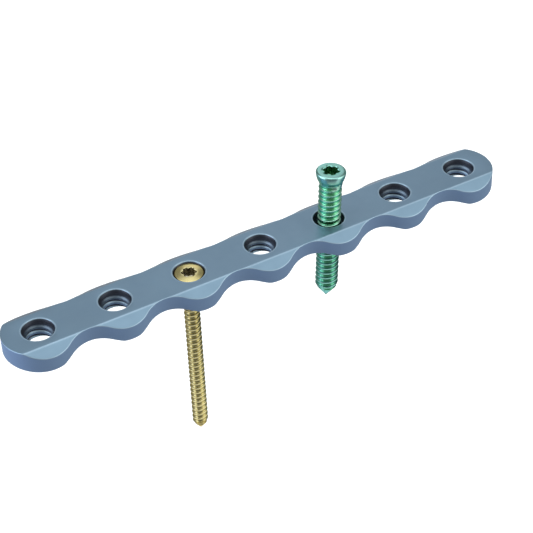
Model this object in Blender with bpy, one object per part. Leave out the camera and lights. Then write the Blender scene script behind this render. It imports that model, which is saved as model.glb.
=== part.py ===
"""A scalloped bone plate with seven holes, a seated cortex screw and a half-driven locking screw.

Blender 4.5, metres, +Z up. The plate runs along X with its middle hole on the Z axis.
Z is 0 at the plane that the lowest edges of its hollow underside lie in, against the bone.
"""

import math

import bmesh
import bpy
from mathutils import Vector

MM = 0.001

# Locking screw, measured along its own axis from the face of its head
LOCKING_CREST_RADIUS = 1.75 * MM
LOCKING_ROOT_RADIUS = 1.47 * MM
LOCKING_THREAD_PITCH = 0.90 * MM
LOCKING_LENGTH = 23.47 * MM
LOCKING_RIM_RADIUS = 2.28 * MM
LOCKING_RIM_ROUND = 0.14 * MM
LOCKING_RIM_BAND = 0.16 * MM
LOCKING_FLARE_HEIGHT = 1.35 * MM
LOCKING_NECK_RADIUS = 1.69 * MM
LOCKING_NECK_LENGTH = 0.75 * MM
LOCKING_TIP_LENGTH = 2.4 * MM
LOCKING_DRIVE_RADIUS = 1.24 * MM
LOCKING_DRIVE_DEPTH = 1.5 * MM
LOCKING_HEAD_RISE = 8.57 * MM
LOCKING_LEAN = math.radians(2.77)
LOCKING_HOLE = 4

# Cortex screw, measured along its own axis from the face of its head
CORTEX_CREST_RADIUS = 1.20 * MM
CORTEX_ROOT_RADIUS = 0.94 * MM
CORTEX_THREAD_PITCH = 0.92 * MM
CORTEX_LENGTH = 31.65 * MM
CORTEX_FACE_RADIUS = 1.50 * MM
CORTEX_HEAD_RADIUS = 2.04 * MM
CORTEX_BEVEL_DEPTH = 0.13 * MM
CORTEX_EDGE_BAND = 0.04 * MM
CORTEX_BALL_ANGLE = math.radians(86.0)
CORTEX_NECK_LENGTH = 0.30 * MM
CORTEX_TIP_LENGTH = 1.65 * MM
CORTEX_DRIVE_RADIUS = 1.0 * MM
CORTEX_DRIVE_DEPTH = 1.0 * MM
CORTEX_SEAT_GAP = 0.06 * MM
CORTEX_HOLE = 2

# Plate
HOLE_COUNT = 7
HOLE_PITCH = 12.0 * MM
BORE_CLEARANCE = 0.08 * MM
COUNTERSINK_DEPTH = 1.0 * MM
COUNTERSINK_WIDTH = 0.53 * MM
LOBE_WALL = 2.96 * MM
WAIST_HALF_WIDTH = 3.62 * MM
CREASE_BEYOND_WAIST = 0.04 * MM
BEVEL_ANGLE = math.radians(33.6)
PLATE_THICKNESS = 2.65 * MM
UNDERSIDE_RADIUS = 19.0 * MM
WAIST_THICKNESS = 2.25 * MM
UNDERCUT_RADIUS = 10.6 * MM

# Thread form: share of the pitch down from the groove's upper edge, and height from root to crest
THREAD_FORM = ((0.0, 0.0), (0.26, 0.0), (0.52, 1.0), (0.70, 1.0))
THREAD_RUNOUT_TURNS = 0.8

# Cutting flutes at the screw tips
FLUTE_COUNT = 2
FLUTE_AZIMUTH = math.radians(195.0)
FLUTE_OPENING = math.radians(95.0)
FLUTE_START_SHARE = 0.12
FLUTE_BEYOND_TIP_CONE = 0.8 * MM

# Facets
HOLE_SEGMENTS = 28
LOBE_SEGMENTS = 10
END_SEGMENTS = 36
WAIST_SEGMENTS = 8
UNDERSIDE_SEGMENTS = 10
UNDERCUT_SEGMENTS = 10
CORTEX_SEGMENTS = 16
LOCKING_SEGMENTS = 18
DRIVE_LOBES = 6
DRIVE_SEGMENTS_PER_LOBE = 4
DRIVE_LOBE_SHARE = 0.15
FLARE_SEGMENTS = 4
BALL_SEGMENTS = 5
CUT_MARGIN = 1.0 * MM

# Surface colours, linear
PLATE_COLOR = (0.198, 0.287, 0.381)
CORTEX_COLOR = (0.723, 0.610, 0.319)
LOCKING_COLOR = (0.150, 0.392, 0.262)


def bore_radius():
    """Return the radius of the plain bore, which lets the leaning locking screw through."""
    bore_length = PLATE_THICKNESS - COUNTERSINK_DEPTH
    lean_shift = math.tan(LOCKING_LEAN) * bore_length / 2
    return LOCKING_CREST_RADIUS + BORE_CLEARANCE + lean_shift


def rim_radius():
    """Return the radius of a hole at the top face."""
    return bore_radius() + COUNTERSINK_WIDTH


def lobe_radius():
    """Return the outer radius of the plate round a hole."""
    return rim_radius() + LOBE_WALL


def underside_drop(offset):
    """Return how far the hollow underside lies below its centre line, sideways from it."""
    return UNDERSIDE_RADIUS - math.sqrt(UNDERSIDE_RADIUS ** 2 - offset ** 2)


def plate_top():
    """Return the height of the plate's flat top face."""
    return PLATE_THICKNESS + underside_drop(lobe_radius())


def hole_x(index):
    """Return the place of a hole along the plate, counted from 0 at -X."""
    return (index - (HOLE_COUNT - 1) / 2) * HOLE_PITCH


def arc_points(center, radius, start, end, segments):
    """Return points on an arc in the XY plane, both ends included."""
    points = []
    for step in range(segments + 1):
        angle = start + (end - start) * step / segments
        points.append((center[0] + radius * math.cos(angle), center[1] + radius * math.sin(angle)))
    return points


def plate_outline():
    """Return the plate's outline: a circle round each hole, joined by hollow waists."""
    lobe = lobe_radius()
    waist_arc = (HOLE_PITCH ** 2 / 4 + WAIST_HALF_WIDTH ** 2 - lobe ** 2) / (2 * (lobe - WAIST_HALF_WIDTH))
    waist_center_y = WAIST_HALF_WIDTH + waist_arc
    meet = math.atan2(waist_center_y, HOLE_PITCH / 2)
    side = []
    for index in range(HOLE_COUNT - 1, -1, -1):
        x = hole_x(index)
        if 0 < index < HOLE_COUNT - 1:
            side += arc_points((x, 0), lobe, meet, math.pi - meet, LOBE_SEGMENTS)
        if index == HOLE_COUNT - 1:
            side += arc_points((x, 0), lobe, 0, math.pi - meet, END_SEGMENTS // 2)
        if index == 0:
            side += arc_points((x, 0), lobe, meet, math.pi, END_SEGMENTS // 2)
        else:
            waist_center = (x - HOLE_PITCH / 2, waist_center_y)
            waist = arc_points(waist_center, waist_arc, -meet, meet - math.pi, WAIST_SEGMENTS)
            side += waist[1:-1]
    mirrored = [(x, -y) for x, y in reversed(side[1:-1])]
    return side + mirrored


def mesh_object(name, bm):
    """Turn a bmesh into an object of the scene, with its faces pointing out."""
    bmesh.ops.recalc_face_normals(bm, faces=bm.faces)
    mesh = bpy.data.meshes.new(name)
    bm.to_mesh(mesh)
    bm.free()
    result = bpy.data.objects.new(name, mesh)
    bpy.context.scene.collection.objects.link(result)
    return result


def add_prism(bm, points, direction):
    """Add a closed prism: a polygon of 3-D points pushed along a direction."""
    low = [bm.verts.new(point) for point in points]
    high = [bm.verts.new(Vector(point) + Vector(direction)) for point in points]
    bm.faces.new(low)
    bm.faces.new(high)
    for index in range(len(points)):
        following = (index + 1) % len(points)
        bm.faces.new((low[index], low[following], high[following], high[index]))


def add_ring(bm, radius, z, segments, center_x=0.0):
    """Add a ring of vertices, clockwise as seen from above."""
    ring = []
    for index in range(segments):
        angle = -2 * math.pi * index / segments
        ring.append(bm.verts.new((center_x + radius * math.cos(angle), radius * math.sin(angle), z)))
    return ring


def join_rings(bm, upper, lower):
    """Join two rings of equal length with a band of quads."""
    count = len(upper)
    for index in range(count):
        following = (index + 1) % count
        bm.faces.new((upper[index], lower[index], lower[following], upper[following]))


def make_cutter(name, bm):
    """Make a hidden object that only cuts others."""
    cutter = mesh_object(name, bm)
    cutter.hide_render = True
    cutter.display_type = "WIRE"
    return cutter


def cut(target, cutter, operation="DIFFERENCE"):
    """Cut or intersect an object with another by a Boolean modifier."""
    modifier = target.modifiers.new(cutter.name, "BOOLEAN")
    modifier.operation = operation
    modifier.solver = "EXACT"
    modifier.object = cutter


def set_material(target, name, color, roughness):
    """Give an object its own metal."""
    material = bpy.data.materials.new(name)
    material.use_nodes = True
    shader = material.node_tree.nodes["Principled BSDF"]
    shader.inputs["Base Color"].default_value = (*color, 1.0)
    shader.inputs["Roughness"].default_value = roughness
    shader.inputs["Metallic"].default_value = 1.0
    material.diffuse_color = (*color, 1.0)
    target.data.materials.append(material)


def shade(target):
    """Shade an object smooth, with its edges kept sharp."""
    target.data.shade_smooth()
    target.data.set_sharp_from_angle(angle=math.radians(28.0))


def plate_section():
    """Return the cutter bar whose section is the plate's: flat top, bevels and hollow underside."""
    lobe = lobe_radius()
    half = lobe + CUT_MARGIN
    top = plate_top()
    crease = WAIST_HALF_WIDTH + CREASE_BEYOND_WAIST
    bevel_end = top - (half - crease) * math.tan(BEVEL_ANGLE)
    underside = top - PLATE_THICKNESS
    section = [(crease, top), (half, bevel_end), (half, -CUT_MARGIN)]
    for step in range(UNDERSIDE_SEGMENTS + 1):
        y = lobe - 2 * lobe * step / UNDERSIDE_SEGMENTS
        section.append((y, underside - underside_drop(y)))
    section += [(-half, -CUT_MARGIN), (-half, bevel_end), (-crease, top)]
    reach = hole_x(HOLE_COUNT - 1) + lobe + CUT_MARGIN
    bm = bmesh.new()
    add_prism(bm, [(-reach, y, z) for y, z in section], (2 * reach, 0, 0))
    return make_cutter("plate_section_bar", bm)


def undercuts():
    """Return the cutters that hollow the underside at each waist, so that less of it meets the bone."""
    bm = bmesh.new()
    floor = -CUT_MARGIN
    ceiling = plate_top() - WAIST_THICKNESS
    reach = math.sqrt(UNDERCUT_RADIUS ** 2 - (UNDERCUT_RADIUS - (ceiling - floor)) ** 2)
    half = lobe_radius() + CUT_MARGIN
    for index in range(HOLE_COUNT - 1):
        center = hole_x(index) + HOLE_PITCH / 2
        points = []
        for step in range(UNDERCUT_SEGMENTS + 1):
            offset = reach - 2 * reach * step / UNDERCUT_SEGMENTS
            drop = UNDERCUT_RADIUS - math.sqrt(UNDERCUT_RADIUS ** 2 - offset ** 2)
            points.append((center + offset, -half, ceiling - drop))
        add_prism(bm, points, (0, 2 * half, 0))
    return make_cutter("undercut_cutters", bm)


def hole_cutters():
    """Return the cutters of all the holes: a countersink above a plain bore."""
    bm = bmesh.new()
    top = plate_top()
    slope = COUNTERSINK_WIDTH / COUNTERSINK_DEPTH
    rings = (
        (rim_radius() + slope * CUT_MARGIN, top + CUT_MARGIN),
        (bore_radius(), top - COUNTERSINK_DEPTH),
        (bore_radius(), -CUT_MARGIN),
    )
    for index in range(HOLE_COUNT):
        stack = [add_ring(bm, radius, z, HOLE_SEGMENTS, hole_x(index)) for radius, z in rings]
        for upper, lower in zip(stack, stack[1:]):
            join_rings(bm, upper, lower)
        bm.faces.new(stack[0])
        bm.faces.new(stack[-1])
    return make_cutter("hole_cutters", bm)


def make_plate():
    """Make the plate by cutting its outline, section, undercuts and holes."""
    outline = [(x, y, -CUT_MARGIN) for x, y in plate_outline()]
    bm = bmesh.new()
    add_prism(bm, outline, (0, 0, plate_top() + 2 * CUT_MARGIN))
    plate = mesh_object("bone_plate", bm)
    cut(plate, plate_section(), "INTERSECT")
    cut(plate, undercuts())
    cut(plate, hole_cutters())
    set_material(plate, "anodised_blue_grey_titanium", PLATE_COLOR, 0.38)
    shade(plate)


def thread_fade(step, last, segments):
    """Return the share of full thread height near both ends of a thread."""
    runout = THREAD_RUNOUT_TURNS * segments
    return max(0.0, min(1.0, step / runout, (last - step) / runout))


def add_thread(bm, upper_ring, lower_ring, start_z, end_z, pitch, radii):
    """Add a right-handed thread between two rings.

    radii is a function of height that gives the root radius and the crest radius there.
    The thread is a lattice: each point of the thread form runs down the screw as a helix,
    and the last helix of one turn joins the first helix of the next.
    """
    segments = len(upper_ring)
    last = round((start_z - end_z) / pitch * segments) - segments
    helices = []
    for number, (share, height) in enumerate(THREAD_FORM):
        helix = []
        steps = last + segments if number == 0 else last
        for step in range(steps + 1):
            z = start_z - pitch * (step / segments + share)
            root, crest = radii(z)
            radius = root + (crest - root) * height * thread_fade(step, last, segments)
            angle = -2 * math.pi * step / segments
            helix.append(bm.verts.new((radius * math.cos(angle), radius * math.sin(angle), z)))
        helices.append(helix)
    first = helices[0]
    for step in range(last):
        for upper, lower in zip(helices, helices[1:]):
            bm.faces.new((upper[step], lower[step], lower[step + 1], upper[step + 1]))
        upper = helices[-1]
        below = step + segments
        bm.faces.new((upper[step], first[below], first[below + 1], upper[step + 1]))
    close_thread_top(bm, upper_ring, helices)
    close_thread_bottom(bm, lower_ring, helices, last)


def close_thread_top(bm, ring, helices):
    """Join the ring above a thread to the thread's first turn."""
    segments = len(ring)
    first = helices[0]
    for step in range(segments - 1):
        bm.faces.new((ring[step], first[step], first[step + 1], ring[step + 1]))
    start_line = [ring[0]] + [helix[0] for helix in helices] + [first[segments], first[segments - 1]]
    for above, below in zip(start_line, start_line[1:]):
        bm.faces.new((ring[-1], below, above))


def close_thread_bottom(bm, ring, helices, last):
    """Join the thread's last turn to the ring below it."""
    segments = len(ring)
    first = helices[0]
    turned = last % segments
    end_line = [helix[last] for helix in helices] + [first[last + segments], ring[turned]]
    end_line.append(ring[(turned + 1) % segments])
    for above, below in zip(end_line, end_line[1:]):
        bm.faces.new((first[last + 1], above, below))
    for step in range(last + 1, last + segments):
        bm.faces.new((
            first[step],
            ring[step % segments],
            ring[(step + 1) % segments],
            first[step + 1],
        ))


def add_screw(bm, head_profile, segments, root, crest, pitch, length, tip_length):
    """Add a whole screw on the Z axis, from its head's face at Z 0 down to its tip."""
    rings = [add_ring(bm, radius, z, segments) for radius, z in head_profile]
    for upper, lower in zip(rings, rings[1:]):
        join_rings(bm, upper, lower)
    bm.faces.new(rings[0])
    thread_end = -length + tip_length / 2

    def radii(z):
        cone = crest * (z + length) / tip_length
        return min(root, cone), min(crest, cone)

    lower_z = thread_end - pitch / 2
    lower_ring = add_ring(bm, radii(lower_z)[0], lower_z, segments)
    start_z = head_profile[-1][1] - pitch / 4
    add_thread(bm, rings[-1], lower_ring, start_z, thread_end, pitch, radii)
    point = bm.verts.new((0, 0, -length))
    for index in range(segments):
        following = (index + 1) % segments
        bm.faces.new((lower_ring[index], point, lower_ring[following]))


def locking_head():
    """Return the locking screw's head and neck as radius and height."""
    profile = [(LOCKING_RIM_RADIUS - LOCKING_RIM_ROUND, 0.0)]
    profile.append((LOCKING_RIM_RADIUS, -LOCKING_RIM_ROUND))
    flare_top = -LOCKING_RIM_ROUND - LOCKING_RIM_BAND
    reach = LOCKING_RIM_RADIUS - LOCKING_NECK_RADIUS
    flare_radius = (reach ** 2 + LOCKING_FLARE_HEIGHT ** 2) / (2 * reach)
    flare_end = math.asin(LOCKING_FLARE_HEIGHT / flare_radius)
    for step in range(FLARE_SEGMENTS + 1):
        angle = flare_end * (1 - step / FLARE_SEGMENTS)
        radius = LOCKING_NECK_RADIUS + flare_radius * (1 - math.cos(angle))
        z = flare_top - LOCKING_FLARE_HEIGHT + flare_radius * math.sin(angle)
        profile.append((radius, z))
    neck_end = flare_top - LOCKING_FLARE_HEIGHT - LOCKING_NECK_LENGTH
    profile.append((LOCKING_NECK_RADIUS, neck_end))
    profile.append((LOCKING_ROOT_RADIUS, neck_end - (LOCKING_NECK_RADIUS - LOCKING_ROOT_RADIUS)))
    return profile


def cortex_ball_radius():
    """Return the radius of the ball-shaped underside of the cortex screw's head."""
    return CORTEX_HEAD_RADIUS / math.sin(CORTEX_BALL_ANGLE)


def cortex_ball_height():
    """Return how far the ball's centre lies above the face of the cortex screw's head."""
    edge = CORTEX_BEVEL_DEPTH + CORTEX_EDGE_BAND
    return cortex_ball_radius() * math.cos(CORTEX_BALL_ANGLE) - edge


def cortex_head():
    """Return the cortex screw's head and neck as radius and height."""
    profile = [(CORTEX_FACE_RADIUS, 0.0), (CORTEX_HEAD_RADIUS, -CORTEX_BEVEL_DEPTH)]
    ball = cortex_ball_radius()
    last_angle = math.asin(CORTEX_ROOT_RADIUS / ball)
    for step in range(BALL_SEGMENTS + 1):
        angle = CORTEX_BALL_ANGLE + (last_angle - CORTEX_BALL_ANGLE) * step / BALL_SEGMENTS
        profile.append((ball * math.sin(angle), cortex_ball_height() - ball * math.cos(angle)))
    profile.append((CORTEX_ROOT_RADIUS, profile[-1][1] - CORTEX_NECK_LENGTH))
    return profile


def drive_cutter(name, radius, depth):
    """Return the cutter of a six-lobed drive recess."""
    bm = bmesh.new()
    count = DRIVE_LOBES * DRIVE_SEGMENTS_PER_LOBE
    points = []
    for index in range(count):
        angle = 2 * math.pi * index / count
        lobe = math.cos(DRIVE_LOBES * angle)
        reach = radius * (1 - DRIVE_LOBE_SHARE * (1 - lobe))
        points.append((reach * math.cos(angle), reach * math.sin(angle), -depth))
    add_prism(bm, points, (0, 0, depth + CUT_MARGIN))
    return make_cutter(name, bm)


def flute_cutter(name, length, tip_length, crest):
    """Return the V-shaped cutters that leave the cutting edges at a screw's tip."""
    bm = bmesh.new()
    reach = 3 * crest
    run = tip_length + FLUTE_BEYOND_TIP_CONE
    rise = crest * (1 - FLUTE_START_SHARE) / run
    for index in range(FLUTE_COUNT):
        azimuth = FLUTE_AZIMUTH + 2 * math.pi * index / FLUTE_COUNT
        outward = Vector((math.cos(azimuth), math.sin(azimuth), 0))
        sideways = Vector((-outward.y, outward.x, 0))
        corner = outward * (crest * FLUTE_START_SHARE - rise * CUT_MARGIN)
        corner.z = -length - CUT_MARGIN
        half = FLUTE_OPENING / 2
        left = corner + reach * (outward * math.cos(half) + sideways * math.sin(half))
        right = corner + reach * (outward * math.cos(half) - sideways * math.sin(half))
        height = run + 2 * CUT_MARGIN
        add_prism(bm, [corner, left, right], outward * rise * height + Vector((0, 0, height)))
    return make_cutter(name, bm)


def make_locking_screw():
    """Make the locking screw, half driven and leaning a little in its hole."""
    bm = bmesh.new()
    add_screw(
        bm,
        locking_head(),
        LOCKING_SEGMENTS,
        LOCKING_ROOT_RADIUS,
        LOCKING_CREST_RADIUS,
        LOCKING_THREAD_PITCH,
        LOCKING_LENGTH,
        LOCKING_TIP_LENGTH,
    )
    screw = mesh_object("locking_screw", bm)
    drive = drive_cutter("locking_drive_cutter", LOCKING_DRIVE_RADIUS, LOCKING_DRIVE_DEPTH)
    flutes = flute_cutter(
        "locking_flute_cutters", LOCKING_LENGTH, LOCKING_TIP_LENGTH, LOCKING_CREST_RADIUS
    )
    cut(screw, drive)
    cut(screw, flutes)
    below_top = (COUNTERSINK_DEPTH + PLATE_THICKNESS) / 2
    rise = LOCKING_HEAD_RISE + below_top
    x = hole_x(LOCKING_HOLE) + rise * math.tan(LOCKING_LEAN)
    for piece in (screw, drive, flutes):
        piece.location = (x, 0, plate_top() + LOCKING_HEAD_RISE)
        piece.rotation_euler = (0, LOCKING_LEAN, 0)
    set_material(screw, "anodised_green_titanium", LOCKING_COLOR, 0.28)
    shade(screw)


def make_cortex_screw():
    """Make the cortex screw, seated in the countersink of its hole."""
    bm = bmesh.new()
    add_screw(
        bm,
        cortex_head(),
        CORTEX_SEGMENTS,
        CORTEX_ROOT_RADIUS,
        CORTEX_CREST_RADIUS,
        CORTEX_THREAD_PITCH,
        CORTEX_LENGTH,
        CORTEX_TIP_LENGTH,
    )
    screw = mesh_object("cortex_screw", bm)
    drive = drive_cutter("cortex_drive_cutter", CORTEX_DRIVE_RADIUS, CORTEX_DRIVE_DEPTH)
    flutes = flute_cutter(
        "cortex_flute_cutters", CORTEX_LENGTH, CORTEX_TIP_LENGTH, CORTEX_CREST_RADIUS
    )
    cut(screw, drive)
    cut(screw, flutes)
    half_angle = math.atan2(COUNTERSINK_WIDTH, COUNTERSINK_DEPTH)
    ball_reach = cortex_ball_radius() + CORTEX_SEAT_GAP
    ball_rise = (ball_reach - rim_radius() * math.cos(half_angle)) / math.sin(half_angle)
    face_z = plate_top() + ball_rise - cortex_ball_height()
    for piece in (screw, drive, flutes):
        piece.location = (hole_x(CORTEX_HOLE), 0, face_z)
    set_material(screw, "anodised_gold_titanium", CORTEX_COLOR, 0.28)
    shade(screw)


def main():
    """Clear the scene and make the three pieces."""
    for leftover in list(bpy.data.objects):
        bpy.data.objects.remove(leftover, do_unlink=True)
    make_plate()
    make_cortex_screw()
    make_locking_screw()


main()
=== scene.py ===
"""The looks of the bone plate and its two screws: fine meshes, anodised metals and a studio."""

import math

import bmesh
import bpy
import numpy as np
from mathutils import Matrix, Vector


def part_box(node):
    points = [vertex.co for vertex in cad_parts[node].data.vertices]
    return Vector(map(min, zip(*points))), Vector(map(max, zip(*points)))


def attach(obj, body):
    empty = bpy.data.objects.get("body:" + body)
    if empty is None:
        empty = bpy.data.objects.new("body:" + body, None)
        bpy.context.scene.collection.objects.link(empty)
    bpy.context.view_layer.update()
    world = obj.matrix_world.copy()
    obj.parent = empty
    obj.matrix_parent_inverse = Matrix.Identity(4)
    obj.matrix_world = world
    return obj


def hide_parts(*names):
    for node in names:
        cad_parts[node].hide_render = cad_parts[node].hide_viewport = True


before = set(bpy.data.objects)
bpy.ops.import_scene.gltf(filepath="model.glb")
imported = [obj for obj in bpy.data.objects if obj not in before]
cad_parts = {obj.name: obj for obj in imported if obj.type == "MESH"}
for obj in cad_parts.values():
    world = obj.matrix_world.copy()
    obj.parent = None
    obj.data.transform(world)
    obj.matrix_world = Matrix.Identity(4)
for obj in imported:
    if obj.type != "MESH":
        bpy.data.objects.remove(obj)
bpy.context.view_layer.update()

MM = 0.001
BODY = "root"

# Plate. Its top, its end and the radius of its lobes are read from the frame
PLATE_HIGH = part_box("bone_plate")[1]
TOP = PLATE_HIGH.z
LOBE_RADIUS = PLATE_HIGH.y
HOLE_COUNT = 7
HOLE_PITCH = (PLATE_HIGH.x - LOBE_RADIUS) * 2 / (HOLE_COUNT - 1)
WAIST_HALF_WIDTH = 3.62 * MM
CREASE_HALF_WIDTH = 3.66 * MM
BEVEL_ANGLE = math.radians(33.6)
PLATE_THICKNESS = 2.84 * MM
UNDERSIDE_RADIUS = 25.4 * MM
WAIST_THICKNESS = 2.32 * MM
UNDERCUT_RADIUS = 10.6 * MM
UNDERCUT_REACH = UNDERCUT_RADIUS * 0.99
CREASE_BLEND = 0.08 * MM
CREASE_REACH = 3 * CREASE_BLEND
CREASE_LIMITS = (0.90, 0.96)
UNDERCUT_BLEND = 0.08 * MM
TOP_EDGE_ROUND = 0.10 * MM
BOTTOM_EDGE_ROUND = 0.07 * MM

# Holes. The rim's rounding starts by a lead, in radians, outside its crown
RIM_RADIUS = 2.40 * MM
RIM_ROUND = 0.09 * MM
RIM_LEAD = 0.12
CONE_DEPTH = 1.30 * MM
BORE_THREAD_START = 0.15 * MM
BORE_CREST_RADIUS = 1.86 * MM
BORE_ROOT_RADIUS = 2.13 * MM
BORE_THREAD_PITCH = 0.90 * MM
BORE_THREAD_TURN = math.radians(272.0)
CUT_MARGIN = 0.6 * MM

# Cortex screw
CORTEX_HOLE = 2
CORTEX_SINK = 0.08 * MM
CORTEX_CREST_RADIUS = 1.23 * MM
CORTEX_ROOT_RADIUS = 0.94 * MM
CORTEX_THREAD_PITCH = 0.92 * MM
CORTEX_FACE_RADIUS = 1.21 * MM
CORTEX_HEAD_RADIUS = 2.14 * MM
CORTEX_BEVEL_DEPTH = 0.16 * MM
CORTEX_DOME_POWER = 1.2
CORTEX_EDGE_ROUND = 0.06 * MM
CORTEX_EDGE_BAND = 0.02 * MM
CORTEX_BALL_ANGLE = math.radians(78.0)
CORTEX_NECK_LENGTH = 0.40 * MM
CORTEX_TIP_LENGTH = 1.65 * MM
CORTEX_DRIVE_RADIUS = 1.13 * MM
CORTEX_DRIVE_DEPTH = 1.5 * MM
CORTEX_DRIVE_TURN = math.radians(38.0)
CORTEX_THREAD_TURN = math.radians(174.0)

# Locking screw
LOCKING_HOLE = 4
LOCKING_LEAN = math.radians(2.77)
LOCKING_PIVOT_DEPTH = 1.825 * MM
LOCKING_CREST_RADIUS = 1.78 * MM
LOCKING_ROOT_RADIUS = 1.50 * MM
LOCKING_THREAD_PITCH = 0.90 * MM
LOCKING_LENGTH = 23.47 * MM
LOCKING_HEAD_RISE = 8.57 * MM
LOCKING_RIM_RADIUS = 2.28 * MM
LOCKING_RIM_ROUND = 0.32 * MM
LOCKING_RIM_BAND = 0.07 * MM
LOCKING_FLARE_HEIGHT = 1.48 * MM
LOCKING_FLARE_STRAIGHT = 0.45
LOCKING_FLARE_POWER = 4
LOCKING_NECK_RADIUS = 1.69 * MM
LOCKING_NECK_LENGTH = 0.03 * MM
LOCKING_THREAD_RISE = 0.24 * MM
LOCKING_TIP_LENGTH = 2.4 * MM
LOCKING_DRIVE_RADIUS = 1.26 * MM
LOCKING_DRIVE_DEPTH = 1.5 * MM
LOCKING_DRIVE_TURN = math.radians(16.0)
LOCKING_THREAD_TURN = math.radians(287.0)

# Drive recesses. The rings of the floor are shares of the outline, and how far they lie deeper
DRIVE_LOBES = 6
DRIVE_LOBE_SHARE = 0.23
DRIVE_CHAMFER = 0.07 * MM
DRIVE_FILLET = 0.06 * MM
DRIVE_FLOOR = ((0.55, 0.12 * MM), (0.94, 0.0))
DRIVE_POINT_DROP = 0.20 * MM

# Threads. A form is the widths of the root, the upper flank and the crest as shares of the pitch,
# then how much of its height the crest loses downwards
BORE_FORM = (0.30, 0.14, 0.20, 0.0)
CORTEX_FORM = (0.48, 0.14, 0.22, 0.16)
LOCKING_FORM = (0.44, 0.14, 0.22, 0.16)
CREST_SHOULDER = 0.96
LOWER_FLANK = ((0.28, 0.74), (0.58, 0.36), (0.84, 0.09))
UPPER_FLANK_HEIGHTS = (0.02, 0.10, 0.52, 0.93)
THREAD_CORNER = 0.025
THREAD_GAP = 0.02 * MM
THREAD_RUN_IN_TURNS = 0.15
THREAD_RUNOUT_TURNS = 0.8

# Cutting flutes at the tips
FLUTE_COUNT = 2
CORTEX_FLUTE_AZIMUTH = math.radians(290.0)
LOCKING_FLUTE_AZIMUTH = math.radians(215.0)
FLUTE_OPENING = math.radians(95.0)
FLUTE_START_SHARE = 0.05
FLUTE_BEYOND_TIP_CONE = 0.8 * MM

# Marks on the points of a screw, which say where light and shade are painted. Smooth metal counts
# as a height in the thread, less at the flare's lower end for painted shade, and the thread below
# the plate has a lower place
SMOOTH_HEIGHT = 0.6
FLARE_SHADE_DEEPENING = 0.4
LOWER_PLACE = 0.5
PLACE_FADE = 1.0 * MM
SMOOTH_TIP_SHARE = 0.8
RECESS_TOP = DRIVE_CHAMFER * 1.5
RECESS_DROP = DRIVE_POINT_DROP * 1.25
RECESS_SHARE = 1.02
MOUTH_DEPTH = DRIVE_CHAMFER * 0.8
MOUTH_WIDTH = 2 * DRIVE_CHAMFER
FLARE_SHARE = 1.5

# Fineness and shading of the meshes
STATION_STEP = 0.25 * MM
CREASE_STEPS = 8
BEVEL_STEPS = 3
WALL_STEPS = 3
ROUND_STEPS = 5
UNDERSIDE_STEPS = 12
HOLE_RIM_STEPS = 7
LOCKING_RIM_STEPS = 9
LOCKING_FLARE_STEPS = 12
CORTEX_DOME_STEPS = 8
CORTEX_BALL_STEPS = 14
FACE_RING_SHARES = (0.35, 0.7)
HOLE_SEGMENTS = 96
CORTEX_SEGMENTS = 72
LOCKING_SEGMENTS = 84
MERGE_DISTANCE = MM * 1e-4
NORMAL_WEIGHT = 60
PLATE_SHARP_ANGLE = math.radians(40.0)
SCREW_SHARP_ANGLE = math.radians(50.0)

# Camera, worked out from the photograph, with its angles in radians
VIEW_HEIGHT = 0.6780934
VIEW_TURN = 0.5044749
VIEW_ROLL = -0.0399283
CAMERA_PLACE = Vector((-90.129, -164.944, 147.065)) * MM
LENS_MM = 108.556
SENSOR_MM = 36.0
NEAREST_SEEN = 0.01

# All metals: scale and detail of the changes in film and polish, and the values that most of a
# noise lies between. A grain is its scale, stretch and depth
FILM_NOISE = (160.0, 3.0)
POLISH_NOISE = (420.0, 4.0)
POLISH_RANGE = (-0.04, 0.05)
NOISE_RANGE = (0.3, 0.7)
GRAIN_DETAIL = 3.0
GRAIN_STRENGTH = 0.35

# Plate metal
PLATE_ROUGHNESS = 0.46
PLATE_GRAIN = (9000.0, (0.35, 1.0, 1.0), 0.004 * MM)
PLATE_COLOURS = ((0.209, 0.310, 0.420), (0.226, 0.334, 0.446))
# Painted light: a lighter, bluer copy of the plate colour on the upright faces, which are blasted
PLATE_SIDE_LIT_COLOUR = (0.30, 0.415, 0.595)
PLATE_SIDE_ROUGHNESS = 0.85
# Painted shade: the underside is darkened, which also darkens its reflection in the screws
PLATE_UNDER_SHADE_COLOUR = (0.165, 0.20, 0.235)
# Painted highlight: the lighter colour of the creases, upward-facing edges and hole rims
PLATE_HIGHLIGHT_COLOUR = (0.35, 0.48, 0.60)
# Painted shade: the dark colour of the holes' cones and of the grooves in their bores
HOLE_SHADE_COLOUR = (0.070, 0.076, 0.100)

# Masks in the plate metal, from the value where each is 0 to the value where it is 1. The first
# five go by how far up the surface faces. They place the plate's painted light, highlights and
# shade
FACES_UP = (0.70, 0.86)
FACES_SIDEWAYS = (0.45, 0.15)
FACES_DOWN = (-0.45, -0.80)
EDGE_RISES = (0.15, 0.40)
EDGE_FALLS = (0.80, 0.70)
CREASE_HIGHLIGHT = 0.75
CREASE_HIGHLIGHT_LINE = CREASE_HALF_WIDTH + 0.02 * MM
CREASE_HIGHLIGHT_REACH = (0.22 * MM, 0.02 * MM)
RIM_HIGHLIGHT_LINE = RIM_RADIUS + RIM_ROUND * 0.6
RIM_HIGHLIGHT_REACH = (0.24 * MM, 0.04 * MM)
HOLE_INSIDE = (RIM_RADIUS + 0.05 * MM, RIM_RADIUS - 0.01 * MM)
CONE_BELOW = (TOP - 0.03 * MM, TOP - 0.14 * MM)
CONE_ABOVE = (TOP - 2.1 * MM, TOP - 0.5 * MM)
GROOVE_RADII = (BORE_CREST_RADIUS + 0.08 * MM, BORE_ROOT_RADIUS - 0.03 * MM)
GROOVES_BELOW = (TOP - 1.15 * MM, TOP - 1.35 * MM)
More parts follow.
